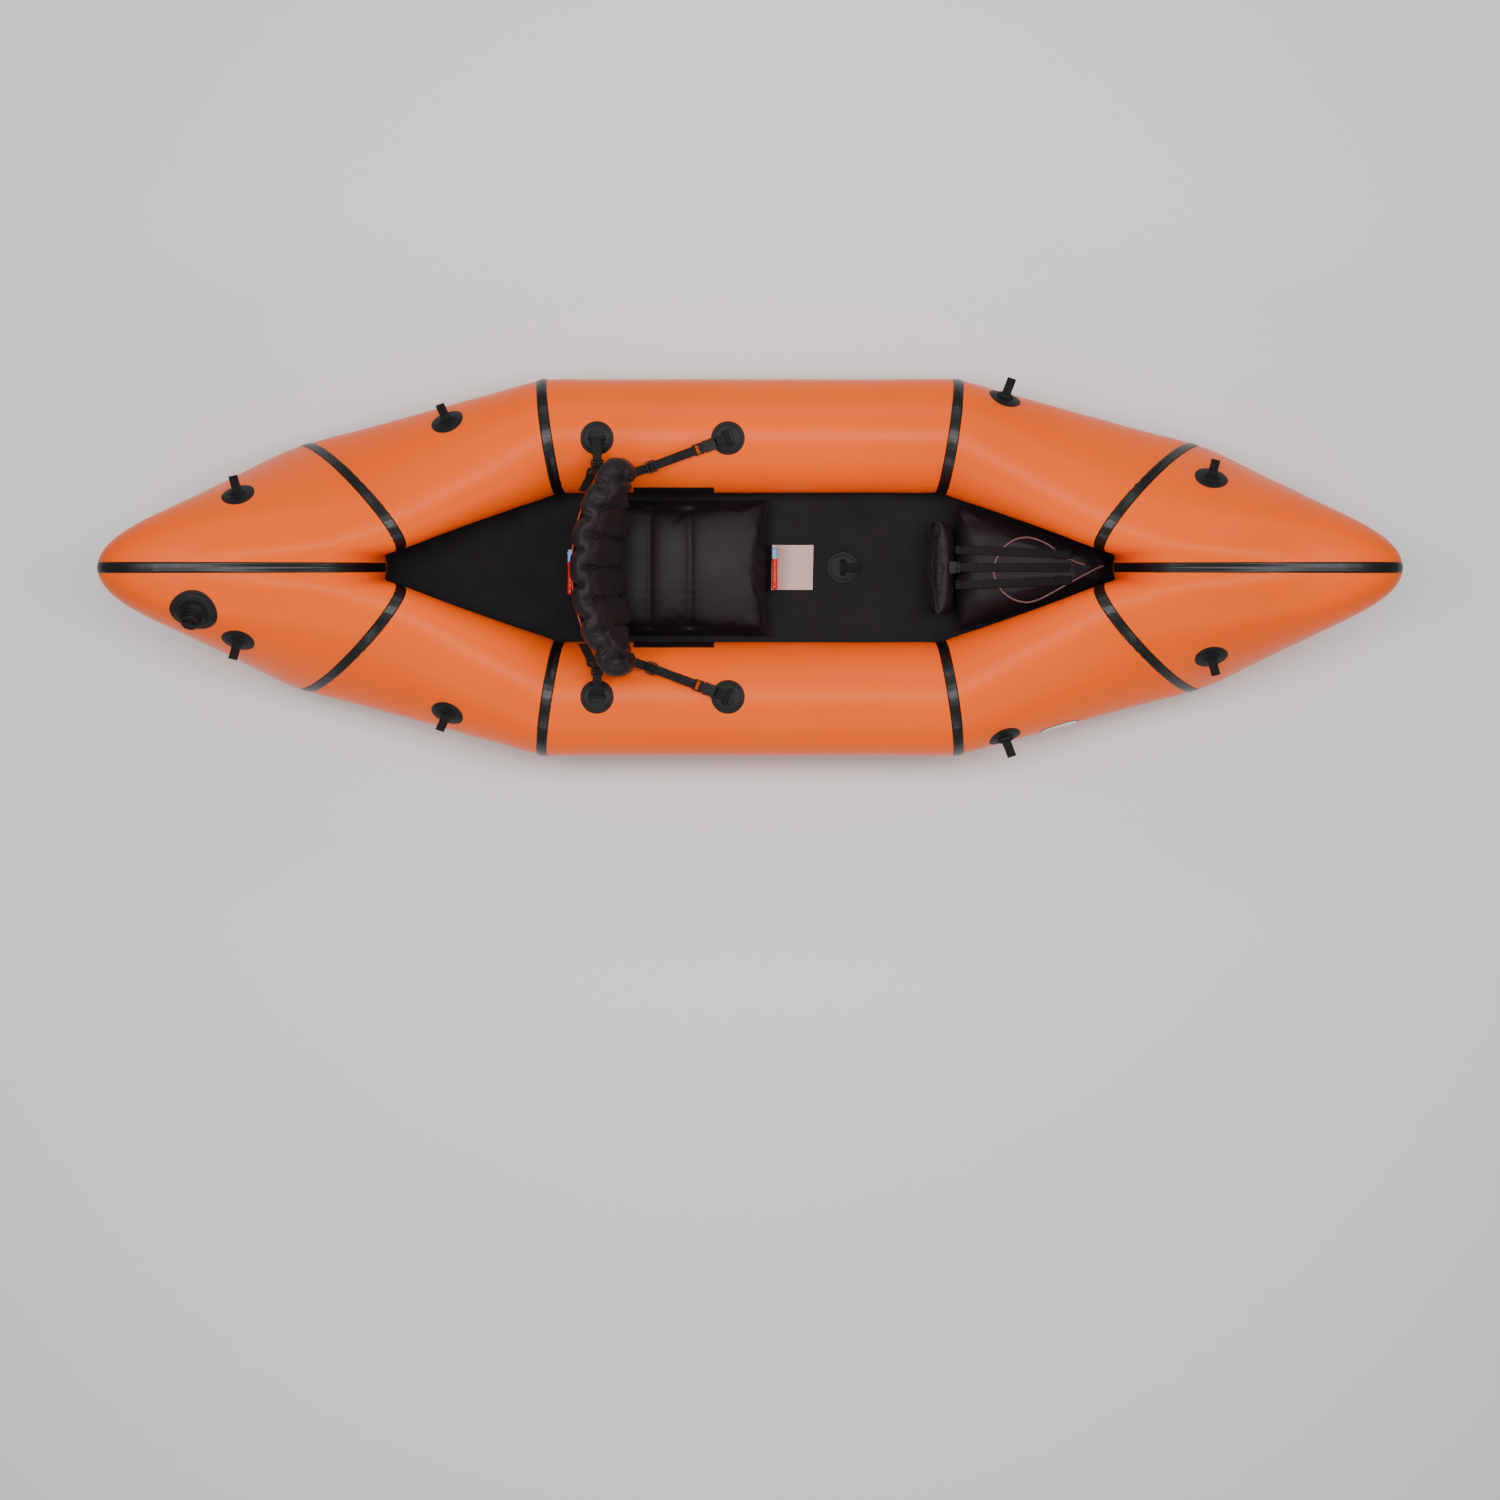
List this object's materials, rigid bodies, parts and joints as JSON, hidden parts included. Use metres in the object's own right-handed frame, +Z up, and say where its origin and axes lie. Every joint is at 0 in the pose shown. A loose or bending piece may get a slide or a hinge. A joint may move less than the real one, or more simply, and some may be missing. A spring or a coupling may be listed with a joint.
{
  "type": "inflatable kayak",
  "caption": "Solo inflatable packraft kayak: eight-panel tube hull with floor sheet, seat, strapped backrest, foot brace, inflation valve and slide-in fin.",
  "frame": {"origin": "on the ground plane under the middle of the hull, level with the tip of the fin", "axes": "+X to the bow, +Y to port, +Z up"},
  "size_m": [2.8822, 0.8652, 0.546],
  "materials": {
    "hull_fabric": "satin coated fabric",
    "seam_tape": "satin welded tape",
    "floor_fabric": "matt coated weave",
    "patch_rubber": "matt moulded",
    "webbing": "woven",
    "buckle_plastic": "fine moulded",
    "valve_plastic": "moulded",
    "fin_plastic": "satin moulded",
    "seat_fabric": "coated cloth",
    "mouth_tube_plastic": "soft moulded",
    "mouth_tip_plastic": "soft moulded",
    "tag_cloth": "smooth printed cloth, blank",
    "elastic": "braided cover",
    "badge_film": "satin film, blank"
  },
  "bodies": {
    "hull": {"side_tube_port": "hull_fabric", "side_tube_starboard": "hull_fabric", "stern_quarter_tube_port": "hull_fabric", "stern_quarter_tube_starboard": "hull_fabric", "bow_quarter_tube_port": "hull_fabric", "bow_quarter_tube_starboard": "hull_fabric", "stern_cone": "hull_fabric", "bow_cone": "hull_fabric", "mid_seam_tapes": "seam_tape", "end_seam_tapes": "seam_tape", "stern_centre_tape": "seam_tape", "bow_centre_tape": "seam_tape", "floor_sheet": "floor_fabric", "patch_discs": "patch_rubber", "patch_bridges": "patch_rubber", "valve_patch": "patch_rubber", "valve_body": "valve_plastic", "valve_tether": "valve_plastic", "fin_patch": "patch_rubber", "fin_box": "fin_plastic", "seat_cushion": "seat_fabric", "seat_side_bands": "seat_fabric", "seat_valve_tube": "mouth_tube_plastic", "care_tag": "tag_cloth", "front_strap_anchors": "webbing", "buckle_sockets": "buckle_plastic", "foot_cushion": "seat_fabric", "foot_bolster": "seat_fabric", "foot_straps": "webbing", "foot_buckle_socket": "buckle_plastic", "foot_cord": "elastic", "foot_cord_eyelets": "buckle_plastic", "hull_badge": "badge_film", "front_straps": "webbing", "rear_straps": "webbing"},
    "grab_loop_stern_quarter_port": {"grab_loop_stern_quarter_port": "webbing"},
    "grab_loop_stern_quarter_starboard": {"grab_loop_stern_quarter_starboard": "webbing"},
    "grab_loop_stern_cone_port": {"grab_loop_stern_cone_port": "webbing"},
    "grab_loop_stern_cone_starboard": {"grab_loop_stern_cone_starboard": "webbing"},
    "grab_loop_bow_quarter_port": {"grab_loop_bow_quarter_port": "webbing"},
    "grab_loop_bow_quarter_starboard": {"grab_loop_bow_quarter_starboard": "webbing"},
    "grab_loop_bow_cone_port": {"grab_loop_bow_cone_port": "webbing"},
    "grab_loop_bow_cone_starboard": {"grab_loop_bow_cone_starboard": "webbing"},
    "floor_loop": {"floor_loop": "webbing"},
    "valve_flap": {"valve_flap": "valve_plastic"},
    "valve_cap": {"valve_cap": "valve_plastic"},
    "fin": {"fin_blade": "fin_plastic"},
    "seat_valve_tip": {"seat_valve_tip": "mouth_tip_plastic"},
    "backrest": {"backrest_cushion": "seat_fabric", "backrest_panel": "seat_fabric", "backrest_valve_tube": "mouth_tube_plastic", "tri_glides": "buckle_plastic", "ladder_locks": "buckle_plastic"},
    "backrest_valve_tip": {"backrest_valve_tip": "mouth_tip_plastic"},
    "buckle_plug_port": {"buckle_plug_port": "buckle_plastic"},
    "buckle_plug_starboard": {"buckle_plug_starboard": "buckle_plastic"},
    "foot_buckle_plug": {"foot_buckle_plug": "buckle_plastic"}
  },
  "joints": [
    {"name": "grab_loop_stern_quarter_port_flop", "type": "hinge", "parent": "hull", "child": "grab_loop_stern_quarter_port", "pos_m": [-0.68453, 0.337, 0.3316], "axis": [-0.9457, -0.3248, -0.0101], "range_deg": [-60, 60]},
    {"name": "grab_loop_stern_quarter_starboard_flop", "type": "hinge", "parent": "hull", "child": "grab_loop_stern_quarter_starboard", "pos_m": [-0.68453, -0.337, 0.3316], "axis": [-0.9457, 0.3248, -0.0101], "range_deg": [-60, 60]},
    {"name": "grab_loop_stern_cone_port_flop", "type": "hinge", "parent": "hull", "child": "grab_loop_stern_cone_port", "pos_m": [-1.13745, 0.17086, 0.40005], "axis": [-0.9514, -0.2488, 0.1815], "range_deg": [-60, 60]},
    {"name": "grab_loop_stern_cone_starboard_flop", "type": "hinge", "parent": "hull", "child": "grab_loop_stern_cone_starboard", "pos_m": [-1.13745, -0.17086, 0.40005], "axis": [-0.9514, 0.2488, 0.1815], "range_deg": [-60, 60]},
    {"name": "grab_loop_bow_quarter_port_flop", "type": "hinge", "parent": "hull", "child": "grab_loop_bow_quarter_port", "pos_m": [0.57959, 0.39318, 0.30439], "axis": [0.9527, -0.303, -0.0235], "range_deg": [-60, 60]},
    {"name": "grab_loop_bow_quarter_starboard_flop", "type": "hinge", "parent": "hull", "child": "grab_loop_bow_quarter_starboard", "pos_m": [0.57959, -0.39318, 0.30439], "axis": [0.9527, 0.303, -0.0235], "range_deg": [-60, 60]},
    {"name": "grab_loop_bow_cone_port_flop", "type": "hinge", "parent": "hull", "child": "grab_loop_bow_cone_port", "pos_m": [1.03213, 0.20857, 0.36596], "axis": [0.9519, -0.2455, 0.1835], "range_deg": [-60, 60]},
    {"name": "grab_loop_bow_cone_starboard_flop", "type": "hinge", "parent": "hull", "child": "grab_loop_bow_cone_starboard", "pos_m": [1.03213, -0.20857, 0.36596], "axis": [0.9519, 0.2455, 0.1835], "range_deg": [-60, 60]},
    {"name": "floor_loop_flop", "type": "hinge", "parent": "hull", "child": "floor_loop", "pos_m": [0.218, 0, 0.1253], "axis": [0, 1, 0], "range_deg": [-140, 2]},
    {"name": "valve_flap_lift", "type": "slide", "parent": "hull", "child": "valve_flap", "axis": [-0.0267, -0.6201, 0.7841], "range_m": [0, 0.006], "stiffness_N_per_m": 20},
    {"name": "valve_cap_turn", "type": "hinge", "parent": "hull", "child": "valve_cap", "pos_m": [-1.22053, -0.1182, 0.47911], "axis": [-0.0267, -0.6201, 0.7841], "range_deg": [0, 360]},
    {"name": "fin_slide", "type": "slide", "parent": "hull", "child": "fin", "axis": [-1, 0, 0], "range_m": [0, 0.175]},
    {"name": "seat_valve_open", "type": "slide", "parent": "hull", "child": "seat_valve_tip", "axis": [0, 1, 0], "range_m": [0, 0.006]},
    {"name": "backrest_tilt", "type": "hinge", "parent": "hull", "child": "backrest", "pos_m": [-0.324, 0, 0.2311], "axis": [0, 1, 0], "range_deg": [-25, 5], "deforming": ["front_straps", "rear_straps"]},
    {"name": "backrest_valve_open", "type": "slide", "parent": "backrest", "child": "backrest_valve_tip", "axis": [0, 1, 0], "range_m": [0, 0.006]},
    {"name": "buckle_release_port", "type": "slide", "parent": "hull", "child": "buckle_plug_port", "axis": [-0.9373, -0.3486, 0], "range_m": [0, 0.028]},
    {"name": "buckle_release_starboard", "type": "slide", "parent": "hull", "child": "buckle_plug_starboard", "axis": [-0.9373, 0.3486, 0], "range_m": [0, 0.028]},
    {"name": "foot_buckle_release", "type": "slide", "parent": "hull", "child": "foot_buckle_plug", "axis": [1, 0, 0], "range_m": [0, 0.016], "deforming": ["foot_straps"]}
  ]
}
